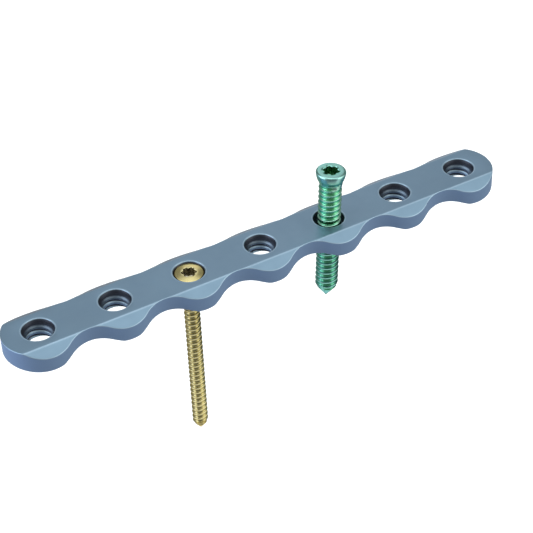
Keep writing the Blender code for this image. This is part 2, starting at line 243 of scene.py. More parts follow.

# Screw metals: two colours of the surface, then painted highlight on crests, painted shade in
# grooves and in the recess. The rim is how the metal tints what it mirrors at a glancing angle
SCREW_ROUGHNESS = 0.20
SCREW_GRAIN = (7000.0, (1.0, 1.0, 1.0), 0.003 * MM)
COAT_ROUGHNESS = 0.12
CORTEX_COAT = 0.1
LOCKING_COAT = 0.3
CORTEX_RIM = (0.80, 0.70, 0.42)
LOCKING_RIM = (0.36, 0.78, 0.78)
CORTEX_METAL = (
    ((0.67, 0.58, 0.26), (0.73, 0.62, 0.31)),
    (0.59, 0.54, 0.30),
    (0.53, 0.46, 0.205),
    (0.34, 0.31, 0.24),
)
LOCKING_METAL = (
    ((0.27, 0.55, 0.50), (0.31, 0.59, 0.56)),
    (0.26, 0.62, 0.51),
    (0.095, 0.44, 0.22),
    (0.12, 0.28, 0.155),
)

# Masks for the screw metals' painted light and shade, the same way, by height in the thread and by
# place
IN_GROOVE = (0.55, 0.05)
ON_CREST = (0.75, 1.0)
ON_UPPER_THREAD = (LOWER_PLACE, 1.0)
ON_THREAD = (0.0, 0.8 * LOWER_PLACE)

# Painted light: tints on the locking screw's thread down to the plate's underside, lighter off the
# crests and darker on them, then in the grooves of both screws lighter and tinted by the side that
# they face, from -1 at the left to 1 at the right
UPPER_PAINTED_LIGHT = (1.50, 1.32, 1.16)
UPPER_CREST_PAINTED_SHADE = (0.80, 0.80, 0.72)
LOCKING_SIDE_LIGHT = (
    (-0.92, (0.60, 0.92, 1.30)),
    (-0.58, (1.40, 1.12, 1.45)),
    (-0.15, (1.0, 1.0, 1.0)),
    (0.15, (1.0, 1.0, 1.0)),
    (0.52, (1.38, 1.10, 1.32)),
    (0.92, (0.70, 0.94, 1.20)),
)
CORTEX_SIDE_LIGHT = (
    (-0.85, (1.12, 1.14, 1.30)),
    (-0.30, (1.0, 1.0, 1.0)),
    (0.30, (1.0, 1.0, 1.0)),
    (0.70, (1.06, 1.05, 0.94)),
)

# Floor, and how much of the white backdrop the metals mirror
FLOOR_GAP = 8 * MM
FLOOR_HALF = 900 * MM
FLOOR_COLOUR = (0.82, 0.82, 0.82)
FLOOR_ROUGHNESS = 0.9
FLOOR_GLOW = 0.45
BACKDROP_IN_METAL = 0.20

# Studio: its light overhead and below, by height, then the light round the object, high up and
# low down, by how far forward it comes from, with the mix of the two and a factor by side
STUDIO_FRONT = math.radians(-118.9)
STUDIO_AHEAD = (math.cos(STUDIO_FRONT), math.sin(STUDIO_FRONT), 0)
STUDIO_SIDEWAYS = (-math.sin(STUDIO_FRONT), math.cos(STUDIO_FRONT), 0)
SKY_STOPS = (
    (-1.0, (0.92, 0.92, 0.92)),
    (-0.6, (0.92, 0.92, 0.92)),
    (0.63, (1.0, 1.0, 1.0)),
    (0.87, (1.14, 1.19, 1.17)),
    (1.0, (1.85, 1.89, 1.87)),
)
HIGH_STOPS = (
    (-1.0, (1.06, 1.06, 1.06)),
    (-0.996, (1.02, 1.02, 1.02)),
    (-0.980, (0.27, 0.28, 0.27)),
    (-0.45, (0.28, 0.29, 0.28)),
    (-0.05, (1.30, 1.32, 1.30)),
    (0.25, (1.80, 1.84, 1.80)),
    (0.55, (1.80, 1.84, 1.80)),
    (0.76, (0.48, 0.50, 0.50)),
    (1.0, (0.26, 0.28, 0.28)),
)
LOW_STOPS = (
    (-1.0, (0.64, 0.54, 0.47)),
    (-0.80, (0.47, 0.40, 0.36)),
    (-0.50, (0.40, 0.39, 0.40)),
    (-0.20, (0.24, 0.25, 0.26)),
    (0.0, (0.30, 0.31, 0.33)),
    (0.25, (0.90, 0.90, 0.93)),
    (0.62, (0.90, 0.90, 0.93)),
    (0.80, (0.28, 0.29, 0.31)),
    (1.0, (0.205, 0.21, 0.23)),
)
RISE_STOPS = (
    (-0.50, (0.0, 0.0, 0.0)),
    (0.25, (1.0, 1.0, 1.0)),
)
SHARE_STOPS = (
    (-0.90, (0.0, 0.0, 0.0)),
    (-0.75, (1.0, 1.0, 1.0)),
    (0.70, (1.0, 1.0, 1.0)),
    (0.92, (0.0, 0.0, 0.0)),
)
SIDE_STOPS = (
    (-0.97, (1.50, 1.58, 1.80)),
    (-0.60, (1.0, 1.0, 1.0)),
    (0.50, (1.0, 1.0, 1.0)),
    (0.90, (1.10, 1.10, 1.04)),
)


def hole_x(index):
    """Return the place of a hole along the plate, counted from 0 at -X."""
    return (index - (HOLE_COUNT - 1) / 2) * HOLE_PITCH


def clamp(value):
    """Keep a value between 0 and 1."""
    return max(0.0, min(1.0, value))


def link(name, bm):
    """Turn a bmesh into a smooth-shaded object of the scene."""
    bmesh.ops.recalc_face_normals(bm, faces=bm.faces)
    mesh = bpy.data.meshes.new(name)
    bm.to_mesh(mesh)
    bm.free()
    mesh.shade_smooth()
    result = bpy.data.objects.new(name, mesh)
    bpy.context.scene.collection.objects.link(result)
    return result


def apply_modifiers(target):
    """Replace an object's mesh by its evaluated mesh."""
    depsgraph = bpy.context.evaluated_depsgraph_get()
    evaluated = target.evaluated_get(depsgraph)
    mesh = bpy.data.meshes.new_from_object(evaluated, depsgraph=depsgraph)
    target.modifiers.clear()
    target.data = mesh


def subtract(target, cutter):
    """Cut one object out of another and delete the cutter."""
    modifier = target.modifiers.new("cut", "BOOLEAN")
    modifier.operation = "DIFFERENCE"
    modifier.solver = "EXACT"
    modifier.object = cutter
    apply_modifiers(target)
    bpy.data.objects.remove(cutter, do_unlink=True)


def finish_shading(target, sharp_angle):
    """Keep the sharp edges crisp and the flats flat."""
    target.data.shade_smooth()
    target.data.set_sharp_from_angle(angle=sharp_angle)
    modifier = target.modifiers.new("weighted_normals", "WEIGHTED_NORMAL")
    modifier.keep_sharp = True
    modifier.weight = NORMAL_WEIGHT
    apply_modifiers(target)


# Plate

def waist_arc():
    """Return the radius of the hollow waists and the sideways place of their centres."""
    pull_in = LOBE_RADIUS - WAIST_HALF_WIDTH
    radius = (HOLE_PITCH ** 2 / 4 + WAIST_HALF_WIDTH ** 2 - LOBE_RADIUS ** 2) / (2 * pull_in)
    return radius, WAIST_HALF_WIDTH + radius


def half_width(x):
    """Return the plate's half width at a place between the first and the last hole."""
    radius, center_y = waist_arc()
    meet = math.atan2(center_y, HOLE_PITCH / 2)
    along = abs((x - hole_x(0) + HOLE_PITCH / 2) % HOLE_PITCH - HOLE_PITCH / 2)
    if along <= LOBE_RADIUS * math.cos(meet):
        return math.sqrt(LOBE_RADIUS ** 2 - along ** 2)
    return center_y - math.sqrt(radius ** 2 - (HOLE_PITCH / 2 - along) ** 2)


def soft_ramp(value, blend):
    """Return a ramp that is 0 below 0 and the value itself above, with its corner rounded."""
    return (value + math.sqrt(value * value + blend * blend)) / 2


def top_height(y):
    """Return the height of the flat top and its bevels."""
    return TOP - soft_ramp(abs(y) - CREASE_HALF_WIDTH, CREASE_BLEND) * math.tan(BEVEL_ANGLE)


def bottom_height(x, y):
    """Return the height of the hollow underside with its undercuts."""
    drop = UNDERSIDE_RADIUS - math.sqrt(UNDERSIDE_RADIUS ** 2 - y ** 2)
    hollow = TOP - PLATE_THICKNESS - drop
    first = hole_x(0) + HOLE_PITCH / 2
    last = hole_x(HOLE_COUNT - 2) + HOLE_PITCH / 2
    nearest = first + round((x - first) / HOLE_PITCH) * HOLE_PITCH
    nearest = min(max(nearest, first), last)
    off = min(abs(x - nearest), UNDERCUT_REACH)
    cut = TOP - WAIST_THICKNESS - UNDERCUT_RADIUS + math.sqrt(UNDERCUT_RADIUS ** 2 - off ** 2)
    return hollow + soft_ramp(cut - hollow, UNDERCUT_BLEND)


def stations():
    """Yield inner point, outward direction and reach all round the plate, anticlockwise."""
    first = hole_x(0)
    last = hole_x(HOLE_COUNT - 1)
    end_steps = round(math.pi * LOBE_RADIUS / STATION_STEP)
    side_steps = round((last - first) / STATION_STEP)
    for start, end, side in ((last, first, 1.0), (first, last, -1.0)):
        for step in range(end_steps):
            angle = math.pi * step / end_steps - side * math.pi / 2
            yield (start, 0.0), (math.cos(angle), math.sin(angle)), LOBE_RADIUS
        for step in range(side_steps):
            x = start + (end - start) * step / side_steps
            yield (x, 0.0), (0.0, side), half_width(x)


def spread(start, end, count):
    """Return evenly spread values after start, up to and with end."""
    return [start + (end - start) * (step + 1) / count for step in range(count)]


def half_section(inner, outward, reach):
    """Return the points of one half section, from the inner point over the edge and back below."""
    def at(distance):
        return inner[0] + outward[0] * distance, inner[1] + outward[1] * distance

    # The points lie close together round the crease, or by the edge where it isn't reached
    flat_end = reach - TOP_EDGE_ROUND
    crease = CREASE_HALF_WIDTH / max(abs(outward[1]), 1e-6)
    before = min(crease - CREASE_REACH, flat_end * CREASE_LIMITS[0])
    after = min(crease + CREASE_REACH, flat_end * CREASE_LIMITS[1])
    distances = [0.0, before / 2, before]
    distances += spread(before, after, CREASE_STEPS) + spread(after, flat_end, BEVEL_STEPS)
    points = []
    for distance in distances:
        x, y = at(distance)
        points.append((x, y, top_height(y)))
    for angle in spread(0.0, math.pi / 2, ROUND_STEPS):
        x, y = at(flat_end + TOP_EDGE_ROUND * math.sin(angle))
        points.append((x, y, top_height(y) - TOP_EDGE_ROUND * (1 - math.cos(angle))))
    wall_top = points[-1][2]
    x, y = at(reach)
    wall_bottom = bottom_height(x, y) + BOTTOM_EDGE_ROUND
    points += [(x, y, z) for z in spread(wall_top, wall_bottom, WALL_STEPS)]
    under_start = reach - BOTTOM_EDGE_ROUND
    for angle in spread(math.pi / 2, 0.0, ROUND_STEPS):
        x, y = at(under_start + BOTTOM_EDGE_ROUND * math.sin(angle))
        points.append((x, y, bottom_height(x, y) + BOTTOM_EDGE_ROUND * (1 - math.cos(angle))))
    for distance in spread(under_start, 0.0, UNDERSIDE_STEPS):
        x, y = at(distance)
        points.append((x, y, bottom_height(x, y)))
    return points


def plate_blank():
    """Make the plate without its holes, as half sections joined all round."""
    bm = bmesh.new()
    rows = []
    for inner, outward, reach in stations():
        rows.append([bm.verts.new(point) for point in half_section(inner, outward, reach)])
    for index, row in enumerate(rows):
        following = rows[(index + 1) % len(rows)]
        for place in range(len(row) - 1):
            bm.faces.new((row[place], row[place + 1], following[place + 1], following[place]))
    bmesh.ops.remove_doubles(bm, verts=bm.verts, dist=MERGE_DISTANCE)
    return link("bone_plate_body", bm)


# Turned and threaded bodies

def ring_vertices(bm, radius, z, segments):
    """Add a ring of vertices, clockwise from above. The radius may be a function of the angle."""
    ring = []
    for index in range(segments):
        angle = -2 * math.pi * index / segments
        reach = radius(angle) if callable(radius) else radius
        ring.append(bm.verts.new((reach * math.cos(angle), reach * math.sin(angle), z)))
    return ring


def join_rings(bm, upper, lower):
    """Join two rings of equal length with a band of quads."""
    count = len(upper)
    for index in range(count):
        following = (index + 1) % count
        bm.faces.new((upper[index], lower[index], lower[following], upper[following]))


def join_point(bm, point, ring):
    """Close a ring with triangles that meet in one point."""
    vertex = bm.verts.new(point)
    for index in range(len(ring)):
        bm.faces.new((vertex, ring[index], ring[(index + 1) % len(ring)]))


def form_points(form):
    """Return the points of one pitch of thread, downwards, as share of the pitch and height.

    They begin at the top of the crest. Between crest and root lies the lower flank, and a corner
    has a point on both sides of it.
    """
    root, upper, crest, fall = form
    lower = 1 - root - upper - crest
    points = [(0.0, 1.0), (crest / 2, 1 - fall / 2), (crest - THREAD_CORNER, 1 - fall)]
    points += [(crest + THREAD_CORNER, CREST_SHOULDER - fall)]
    points += [(crest + lower * share, (1 - fall) * height) for share, height in LOWER_FLANK]
    points += [(crest + lower, 0.0), (crest + lower + root / 2, 0.0)]
    half = THREAD_CORNER / 2
    rising = (1 - upper - half, 1 - upper + half, 1 - upper / 2, 1 - THREAD_CORNER)
    return points + list(zip(rising, UPPER_FLANK_HEIGHTS))


def add_thread(bm, upper_ring, lower_ring, start_z, end_z, pitch, radii, form, run_in):
    """Add a right-handed thread between two rings, as a lattice of helices.

    radii gives the root and crest radius at a height. At the thread's top the grooves run in
    from the crest, over so many turns as run_in says, and at its bottom the crest fades out.
    """
    segments = len(upper_ring)
    last = round((start_z - end_z) / pitch * segments) - segments
    faded = THREAD_RUNOUT_TURNS * segments
    helices = []
    for number, (share, height) in enumerate(form_points(form)):
        helix = []
        for step in range((last + segments if number == 0 else last) + 1):
            z = start_z - pitch * (step / segments + share)
            root, crest = radii(z)
            fade_in = min(1.0, step / (run_in * segments)) if run_in else 1.0
            fade_out = clamp((last - step) / faded)
            radius = root + (crest - root) * (1 - (1 - height) * fade_in) * fade_out
            angle = -2 * math.pi * step / segments
            helix.append(bm.verts.new((radius * math.cos(angle), radius * math.sin(angle), z)))
        helices.append(helix)
    first = helices[0]
    for step in range(last):
        for upper, lower in zip(helices, helices[1:]):
            bm.faces.new((upper[step], lower[step], lower[step + 1], upper[step + 1]))
        upper = helices[-1]
        below = step + segments
        bm.faces.new((upper[step], first[below], first[below + 1], upper[step + 1]))
    close_thread_top(bm, upper_ring, helices)
    close_thread_bottom(bm, lower_ring, helices, last)


def close_thread_top(bm, ring, helices):
    """Join the ring above a thread to the thread's first turn."""
    segments = len(ring)
    first = helices[0]
    for step in range(segments - 1):
        bm.faces.new((ring[step], first[step], first[step + 1], ring[step + 1]))
    line = [ring[0]] + [helix[0] for helix in helices] + [first[segments], first[segments - 1]]
    for above, below in zip(line, line[1:]):
        bm.faces.new((ring[-1], below, above))


def close_thread_bottom(bm, ring, helices, last):
    """Join the thread's last turn to the ring below it."""
    segments = len(ring)
    first = helices[0]
    turned = last % segments
    line = [helix[last] for helix in helices] + [first[last + segments], ring[turned]]
    line.append(ring[(turned + 1) % segments])
    for above, below in zip(line, line[1:]):
        bm.faces.new((first[last + 1], above, below))
    for step in range(last + 1, last + segments):
        near = ring[step % segments]
        far = ring[(step + 1) % segments]
        bm.faces.new((first[step], near, far, first[step + 1]))


# Holes

def cone_radius(depth):
    """Return the radius of the hole's cone at a depth below the plate's top."""
    return RIM_RADIUS - depth / CONE_DEPTH * (RIM_RADIUS - BORE_CREST_RADIUS)


def hole_cutter(index):
    """Return the cutter of one hole: rounded rim, cone and threaded bore."""
    bm = bmesh.new()
    profile = [(RIM_RADIUS + RIM_ROUND + 2 * CUT_MARGIN, TOP + CUT_MARGIN / 2)]
    taper = math.atan2(RIM_RADIUS - BORE_CREST_RADIUS, CONE_DEPTH)
    for turn in spread(-RIM_LEAD, math.pi / 2 - taper, HOLE_RIM_STEPS):
        across = RIM_RADIUS + RIM_ROUND * (1 - math.sin(turn))
        profile.append((across, TOP - RIM_ROUND * (1 - math.cos(turn))))
    profile.append((cone_radius(BORE_THREAD_START), TOP - BORE_THREAD_START))
    rings = [ring_vertices(bm, radius, z, HOLE_SEGMENTS) for radius, z in profile]
    for upper, lower in zip(rings, rings[1:]):
        join_rings(bm, upper, lower)
    join_point(bm, (0, 0, TOP + CUT_MARGIN), rings[0])
    end_z = -BORE_THREAD_PITCH * 2
    lowest = ring_vertices(bm, BORE_CREST_RADIUS, end_z - BORE_THREAD_PITCH, HOLE_SEGMENTS)

    def radii(z):
        cone = cone_radius(TOP - z)
        return max(cone, BORE_CREST_RADIUS), max(cone, BORE_ROOT_RADIUS)

    start_z = profile[-1][1] - THREAD_GAP
    add_thread(bm, rings[-1], lowest, start_z, end_z, BORE_THREAD_PITCH, radii, BORE_FORM, 0)
    join_point(bm, (0, 0, end_z - 2 * BORE_THREAD_PITCH), lowest)
    cutter = link("hole_cutter", bm)
    place = Matrix.Translation((hole_x(index), 0, 0))
    cutter.data.transform(place @ Matrix.Rotation(BORE_THREAD_TURN, 4, "Z"))
    return cutter


def make_plate():
    """Make the plate and cut its holes."""
    plate = plate_blank()
    for index in range(HOLE_COUNT):
        subtract(plate, hole_cutter(index))
    finish_shading(plate, PLATE_SHARP_ANGLE)
    return plate


# Screws

def star(radius, turn):
    """Return the six-lobed outline of a drive recess as a function of the angle."""
    def reach(angle):
        lobe = abs(math.cos(DRIVE_LOBES / 2 * (angle - turn)))
        return radius * (1 - DRIVE_LOBE_SHARE * (1 - lobe))

    return reach


def shrink(outline, share):
    """Return an outline at a share of its size."""
    return lambda angle: outline(angle) * share


def blend_ring(inner, outer_radius, share):
    """Return an outline part of the way from a star to a circle."""
    return lambda angle: inner(angle) * (1 - share) + outer_radius * share


def add_drive(bm, radius, depth, turn, face_radius, segments):
    """Add a six-lobed recess and the flat face round it, and return the face's outer ring."""
    wall = star(radius, turn)
    mouth = star(radius + DRIVE_CHAMFER, turn)
    outlines = [(shrink(wall, share), -depth - drop) for share, drop in DRIVE_FLOOR]
    outlines += [(wall, z) for z in (DRIVE_FILLET - depth, -2 * DRIVE_CHAMFER, -DRIVE_CHAMFER)]
    outlines.append((mouth, 0.0))
    outlines += [(blend_ring(mouth, face_radius, share), 0.0) for share in FACE_RING_SHARES]
    outlines.append((face_radius, 0.0))
    rings = [ring_vertices(bm, outline, z, segments) for outline, z in outlines]
    join_point(bm, (0, 0, -depth - DRIVE_POINT_DROP), rings[0])
    for upper, lower in zip(rings, rings[1:]):
        join_rings(bm, upper, lower)
    return rings[-1]


def add_screw(bm, face_ring, profile, rise, root, crest, pitch, length, tip_length, form):
    """Add a screw below its head's face, from the head's profile down to its tip.

    The thread begins by rise above the end of the profile, cut into it.
    """
    segments = len(face_ring)
    start_z = profile[-1][1] - THREAD_GAP + rise
    kept = [(radius, z) for radius, z in profile if z > start_z + THREAD_GAP / 2]
    rings = [face_ring] + [ring_vertices(bm, radius, z, segments) for radius, z in kept]
    for upper, lower in zip(rings, rings[1:]):
        join_rings(bm, upper, lower)
    thread_end = -length + tip_length / 2
    depths = [-z for _, z in profile]
    reaches = [radius for radius, _ in profile]

    def radii(z):
        cone = crest * (z + length) / tip_length
        top = max(crest, float(np.interp(-z, depths, reaches))) if z > profile[-1][1] else crest
        return min(root, cone), min(top, cone)

    lower_z = thread_end - pitch / 2
    lower_ring = ring_vertices(bm, radii(lower_z)[0], lower_z, segments)
    add_thread(
        bm, rings[-1], lower_ring, start_z, thread_end, pitch, radii, form, THREAD_RUN_IN_TURNS
    )
    join_point(bm, (0, 0, -length), lower_ring)


def flute_cutter(azimuth, length, tip_length, crest):
    """Return the V-shaped cutter of one cutting flute at a screw's tip."""
    bm = bmesh.new()
    reach = 3 * crest
    run = tip_length + FLUTE_BEYOND_TIP_CONE
    rise = crest * (1 - FLUTE_START_SHARE) / run
    outward = Vector((math.cos(azimuth), math.sin(azimuth), 0))
    sideways = Vector((-outward.y, outward.x, 0))
    corner = outward * (crest * FLUTE_START_SHARE - rise * CUT_MARGIN)
    corner.z = -length - CUT_MARGIN
    half = FLUTE_OPENING / 2
    left = corner + reach * (outward * math.cos(half) + sideways * math.sin(half))
    right = corner + reach * (outward * math.cos(half) - sideways * math.sin(half))
    height = run + 2 * CUT_MARGIN
    push = outward * rise * height + Vector((0, 0, height))
    low = [bm.verts.new(point) for point in (corner, left, right)]
    high = [bm.verts.new(point + push) for point in (corner, left, right)]
    bm.faces.new(low)
    bm.faces.new(high)
    for index in range(3):
        following = (index + 1) % 3
        bm.faces.new((low[index], low[following], high[following], high[index]))
    return link("flute_cutter", bm)


def cut_flutes(screw, length, tip_length, crest, azimuth):
    """Cut the flutes that leave the cutting edges at a screw's tip."""
    for index in range(FLUTE_COUNT):
        around = azimuth + 2 * math.pi * index / FLUTE_COUNT
        subtract(screw, flute_cutter(around, length, tip_length, crest))


def locking_profile():
    """Return the locking screw's rim, flare and neck as radius and height."""
    profile = []
    for turn in spread(0.0, math.pi / 2, LOCKING_RIM_STEPS):
        across = LOCKING_RIM_RADIUS - LOCKING_RIM_ROUND * (1 - math.sin(turn))
        profile.append((across, -LOCKING_RIM_ROUND * (1 - math.cos(turn))))
    flare_top = -LOCKING_RIM_ROUND - LOCKING_RIM_BAND
    reach = LOCKING_RIM_RADIUS - LOCKING_NECK_RADIUS
    curved = 1 - LOCKING_FLARE_STRAIGHT
    for share in [0.0] + spread(0.0, 1.0, LOCKING_FLARE_STEPS):
        pull = LOCKING_FLARE_STRAIGHT * share + curved * share ** LOCKING_FLARE_POWER
        across = LOCKING_NECK_RADIUS + reach * (1 - pull)
        profile.append((across, flare_top - LOCKING_FLARE_HEIGHT * share))
    neck_end = flare_top - LOCKING_FLARE_HEIGHT - LOCKING_NECK_LENGTH
    profile.append((LOCKING_NECK_RADIUS, neck_end))
    return profile


def cortex_profile():
    """Return the cortex screw's dome, edge, ball and neck as radius and height."""
    profile = []
    dome = CORTEX_HEAD_RADIUS - CORTEX_EDGE_ROUND - CORTEX_FACE_RADIUS
    for share in spread(0.0, 1.0, CORTEX_DOME_STEPS):
        down = -CORTEX_BEVEL_DEPTH * share ** CORTEX_DOME_POWER
        profile.append((CORTEX_FACE_RADIUS + dome * share, down))
    bevel = math.atan2(CORTEX_DOME_POWER * CORTEX_BEVEL_DEPTH, dome)
    edge_radius = profile[-1][0] - CORTEX_EDGE_ROUND * math.sin(bevel)
    for turn in spread(bevel, math.pi / 2, ROUND_STEPS):
        across = min(edge_radius + CORTEX_EDGE_ROUND * math.sin(turn), CORTEX_HEAD_RADIUS)
        down = -CORTEX_BEVEL_DEPTH - CORTEX_EDGE_ROUND * (math.cos(bevel) - math.cos(turn))
        profile.append((across, down))
    ball = CORTEX_HEAD_RADIUS / math.sin(CORTEX_BALL_ANGLE)
    rise = ball * math.cos(CORTEX_BALL_ANGLE) - CORTEX_BEVEL_DEPTH - CORTEX_EDGE_BAND
    last_angle = math.asin(CORTEX_ROOT_RADIUS / ball)
    angles = spread(CORTEX_BALL_ANGLE, last_angle, CORTEX_BALL_STEPS)
    for angle in [CORTEX_BALL_ANGLE] + angles:
        profile.append((ball * math.sin(angle), rise - ball * math.cos(angle)))
    profile.append((CORTEX_ROOT_RADIUS, profile[-1][1] - CORTEX_NECK_LENGTH))
    return profile


def paint(screw, drive_radius, drive_depth, root, crest, thread_top, painted_light_depth, tip):
    """Mark each point of a screw for painted light: recess, height in thread, edge of recess,
    place.

    The place is 0 on the head, 1 on the thread down to the depth that gets painted light, and
    LOWER_PLACE below.
    The smooth point of the screw begins at the depth tip.
    """
    attribute = screw.data.attributes.new("painted_light_marks", "FLOAT_COLOR", "POINT")
    values = []
    for vertex in screw.data.vertices:
        radius = math.hypot(vertex.co.x, vertex.co.y)
        depth = -vertex.co.z
        sunk = RECESS_TOP < depth < drive_depth + RECESS_DROP
        recess = sunk and radius < drive_radius * RECESS_SHARE
        mouth = depth < MOUTH_DEPTH and radius < drive_radius + MOUTH_WIDTH
        height = SMOOTH_HEIGHT
        if thread_top < depth < tip:
            height = clamp((radius - root) / (crest - root))
        # Painted shade: the head darkens downwards, towards the flare's lower end
        elif depth <= thread_top and radius > drive_radius * FLARE_SHARE:
            height -= FLARE_SHADE_DEEPENING * min(1.0, depth / thread_top)
        place = LOWER_PLACE + (1 - LOWER_PLACE) * clamp((painted_light_depth - depth) / PLACE_FADE)
        values += [float(recess), height, float(mouth), place if depth > thread_top else 0.0]
    attribute.data.foreach_set("color", values)


def make_cortex_screw():
    """Make the gold cortex screw, seated in its countersink."""
    low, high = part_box("cortex_screw")
    bm = bmesh.new()
    face = add_drive(
        bm,
        CORTEX_DRIVE_RADIUS,
        CORTEX_DRIVE_DEPTH,
        CORTEX_DRIVE_TURN - CORTEX_THREAD_TURN,
        CORTEX_FACE_RADIUS,
        CORTEX_SEGMENTS,
    )
    length = high.z - CORTEX_SINK - low.z
    add_screw(
        bm,
        face,
        cortex_profile(),
        0.0,
        CORTEX_ROOT_RADIUS,
        CORTEX_CREST_RADIUS,
        CORTEX_THREAD_PITCH,
        length,
        CORTEX_TIP_LENGTH,
        CORTEX_FORM,
    )
    screw = link("cortex_screw_body", bm)
    flute_azimuth = CORTEX_FLUTE_AZIMUTH - CORTEX_THREAD_TURN
    cut_flutes(screw, length, CORTEX_TIP_LENGTH, CORTEX_CREST_RADIUS, flute_azimuth)
    paint(
        screw,
        CORTEX_DRIVE_RADIUS,
        CORTEX_DRIVE_DEPTH,
        CORTEX_ROOT_RADIUS,
        CORTEX_CREST_RADIUS,
        2 * CORTEX_HEAD_RADIUS,
        0.0,
        length - SMOOTH_TIP_SHARE * CORTEX_TIP_LENGTH,
    )
    finish_shading(screw, SCREW_SHARP_ANGLE)
    place = Matrix.Translation((hole_x(CORTEX_HOLE), 0, high.z - CORTEX_SINK))
    screw.data.transform(place @ Matrix.Rotation(CORTEX_THREAD_TURN, 4, "Z"))
    return screw


def make_locking_screw():
    """Make the green locking screw, half driven and leaning."""
    bm = bmesh.new()
    face = add_drive(
        bm,
        LOCKING_DRIVE_RADIUS,
        LOCKING_DRIVE_DEPTH,
        LOCKING_DRIVE_TURN - LOCKING_THREAD_TURN,
        LOCKING_RIM_RADIUS - LOCKING_RIM_ROUND,
        LOCKING_SEGMENTS,
    )
    profile = locking_profile()
    add_screw(
        bm,
        face,
        profile,
        LOCKING_THREAD_RISE,
        LOCKING_ROOT_RADIUS,
        LOCKING_CREST_RADIUS,
        LOCKING_THREAD_PITCH,
        LOCKING_LENGTH,
        LOCKING_TIP_LENGTH,
        LOCKING_FORM,
    )
    screw = link("locking_screw_body", bm)
    flute_azimuth = LOCKING_FLUTE_AZIMUTH - LOCKING_THREAD_TURN
    cut_flutes(screw, LOCKING_LENGTH, LOCKING_TIP_LENGTH, LOCKING_CREST_RADIUS, flute_azimuth)
    paint(
        screw,
        LOCKING_DRIVE_RADIUS,
        LOCKING_DRIVE_DEPTH,
        LOCKING_ROOT_RADIUS,
        LOCKING_CREST_RADIUS,
        -profile[-1][1] - LOCKING_THREAD_RISE,
        LOCKING_HEAD_RISE + PLATE_THICKNESS,
        LOCKING_LENGTH - SMOOTH_TIP_SHARE * LOCKING_TIP_LENGTH,
    )
    finish_shading(screw, SCREW_SHARP_ANGLE)
    rise = LOCKING_HEAD_RISE + LOCKING_PIVOT_DEPTH
    x = hole_x(LOCKING_HOLE) + rise * math.tan(LOCKING_LEAN)
    place = Matrix.Translation((x, 0, TOP + LOCKING_HEAD_RISE))
    lean = Matrix.Rotation(LOCKING_LEAN, 4, "Y")
    screw.data.transform(place @ lean @ Matrix.Rotation(LOCKING_THREAD_TURN, 4, "Z"))
    return screw


# Materials

def new_material(name):
    """Make a material and return it with its nodes, links and shader."""
    material = bpy.data.materials.new(name)
    material.use_nodes = True
    nodes = material.node_tree.nodes
    return material, nodes, material.node_tree.links, nodes["Principled BSDF"]


def feed(links, socket, value):
    """Give a socket its value: a link from another socket, or plain numbers."""
    if isinstance(value, bpy.types.NodeSocket):
        links.new(value, socket)
    elif value is not None:
        socket.default_value = value


def add_noise(nodes, links, scale, detail, stretch=(1, 1, 1)):
    """Add a noise in object space, stretched along the axes, and return its value."""
    place = nodes.new("ShaderNodeTexCoord")
    mapping = nodes.new("ShaderNodeMapping")
    mapping.inputs["Scale"].default_value = stretch
    links.new(place.outputs["Object"], mapping.inputs["Vector"])
    noise = nodes.new("ShaderNodeTexNoise")
    noise.inputs["Scale"].default_value = scale
    noise.inputs["Detail"].default_value = detail
    links.new(mapping.outputs["Vector"], noise.inputs["Vector"])
    return noise.outputs["Fac"]


def add_range(nodes, links, source, low, high):
    """Map a noise to a range of values."""
    mapped = nodes.new("ShaderNodeMapRange")
    mapped.inputs["From Min"].default_value = NOISE_RANGE[0]
    mapped.inputs["From Max"].default_value = NOISE_RANGE[1]
    mapped.inputs["To Min"].default_value = low
    mapped.inputs["To Max"].default_value = high
    links.new(source, mapped.inputs["Value"])
    return mapped.outputs["Result"]


def add_math(nodes, links, operation, first, second=None):
    """Add an operation on one or two values, each a socket or a number."""
    node = nodes.new("ShaderNodeMath")
    node.operation = operation
    feed(links, node.inputs[0], first)
    feed(links, node.inputs[1], second)
    return node.outputs["Value"]


def add_product(nodes, links, first, *others):
    """Multiply several values, each a socket or a number."""
    for other in others:
        first = add_math(nodes, links, "MULTIPLY", first, other)
    return first


def add_vector(nodes, links, operation, first, second=None):
    """Add an operation on one or two vectors, each a socket or plain numbers."""
    node = nodes.new("ShaderNodeVectorMath")
    node.operation = operation
    feed(links, node.inputs[0], first)
    feed(links, node.inputs[1], second)
    return node.outputs["Value" if operation == "DOT_PRODUCT" else "Vector"]


def split(nodes, links, vector):
    """Return the X, Y and Z of a vector by name."""
    separate = nodes.new("ShaderNodeSeparateXYZ")
    links.new(vector, separate.inputs["Vector"])
    return separate.outputs


def add_step(nodes, links, source, low, high):
    """Map a value softly from 0 at low to 1 at high. High may be the smaller one."""
    mapped = nodes.new("ShaderNodeMapRange")
    mapped.interpolation_type = "SMOOTHSTEP"
    mapped.inputs["From Min"].default_value = min(low, high)
    mapped.inputs["From Max"].default_value = max(low, high)
    mapped.inputs["To Min"].default_value = 0.0 if low < high else 1.0
    mapped.inputs["To Max"].default_value = 1.0 if low < high else 0.0
    links.new(source, mapped.inputs["Value"])
    return mapped.outputs["Result"]


def add_mix(nodes, links, factor, first, second):
    """Mix two colours, each a socket or a colour."""
    mix = nodes.new("ShaderNodeMix")
    mix.data_type = "RGBA"
    links.new(factor, mix.inputs["Factor"])
    for socket, value in ((mix.inputs["A"], first), (mix.inputs["B"], second)):
        feed(links, socket, (*value, 1.0) if isinstance(value, tuple) else value)
    return mix.outputs["Result"]


def add_tint(nodes, links, factor, colour, tint):
    """Multiply a colour by a tint, as far as the factor says."""
    part = add_mix(nodes, links, factor, (1.0, 1.0, 1.0), tint)
    return add_vector(nodes, links, "MULTIPLY", colour, part)


